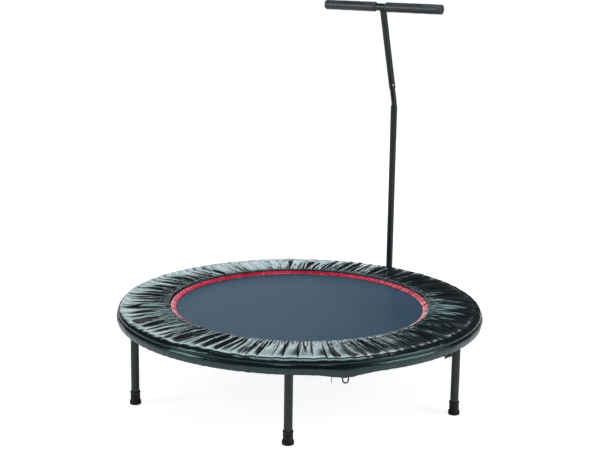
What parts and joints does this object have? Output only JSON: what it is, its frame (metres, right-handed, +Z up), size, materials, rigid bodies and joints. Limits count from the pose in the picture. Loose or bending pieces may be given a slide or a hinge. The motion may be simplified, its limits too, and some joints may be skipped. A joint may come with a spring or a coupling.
{
  "type": "mini trampoline",
  "caption": "Round mini trampoline on six legs with a gathered black pad cover, red mat border and a T-handle on one leaning pole.",
  "frame": {"origin": "on the floor under the centre of the round frame", "axes": "+Z up, +Y towards the handle pole, +X along the handle's cross bar"},
  "size_m": [1.0199, 1.037, 1.0431],
  "materials": {
    "frame_steel": "satin",
    "bare_steel": "satin",
    "button_steel": "polished",
    "foot_rubber": "matte",
    "woven_mat": "woven",
    "red_border": "padded",
    "webbing": "woven",
    "cover_vinyl": "glossy",
    "pad_foam": "matte",
    "elastic_cord": "woven",
    "black_cord": "woven",
    "black_plastic": "matte",
    "grip_foam": "matte"
  },
  "bodies": {
    "frame": {"frame_ring": "frame_steel", "leg_1": "frame_steel", "leg_2": "frame_steel", "leg_3": "frame_steel", "leg_4": "frame_steel", "leg_5": "frame_steel", "leg_6": "frame_steel", "foot_1": "foot_rubber", "foot_2": "foot_rubber", "foot_3": "foot_rubber", "foot_4": "foot_rubber", "foot_5": "foot_rubber", "foot_6": "foot_rubber", "leg_plugs": "bare_steel", "leg_studs": "bare_steel", "springs": "bare_steel", "pad_cover": "cover_vinyl", "foam_ring": "pad_foam", "hem_elastic": "elastic_cord", "drawcord": "black_cord", "pole_bracket": "frame_steel", "bracket_bolts": "bare_steel", "bracket_nuts": "bare_steel"},
    "mat": {"jump_mat": "woven_mat", "mat_border": "red_border", "mat_tabs": "webbing", "v_rings": "bare_steel"},
    "handle": {"lower_pole": "frame_steel", "pole_plug": "black_plastic", "stop_pin": "bare_steel", "joint_screw": "bare_steel", "elbow_tube": "frame_steel", "t_bar": "frame_steel", "bar_plugs": "black_plastic", "grip_left": "grip_foam", "grip_right": "grip_foam", "button_clip": "bare_steel"},
    "knob": {"clamp_knob": "black_plastic", "clamp_screw": "bare_steel"},
    "button": {"snap_button": "button_steel"}
  },
  "joints": [
    {"name": "mat_bounce", "type": "slide", "parent": "frame", "child": "mat", "axis": [0, 0, 1], "range_m": [-0.08, 0], "stiffness_N_per_m": 8000, "springref_m": 0.01, "deforming": ["springs"]},
    {"name": "handle_height", "type": "slide", "parent": "frame", "child": "handle", "axis": [0, 0, 1], "range_m": [0, 0.1]},
    {"name": "clamp_knob_turn", "type": "hinge", "parent": "frame", "child": "knob", "pos_m": [0, 0.47, 0.1525], "axis": [0, 1, 0], "continuous": true},
    {"name": "button_press", "type": "slide", "parent": "handle", "child": "button", "axis": [-0.7071, 0.6777, 0.2017], "range_m": [0, 0.003], "stiffness_N_per_m": 1500, "springref_m": -0.001, "deforming": ["button_clip"]}
  ]
}
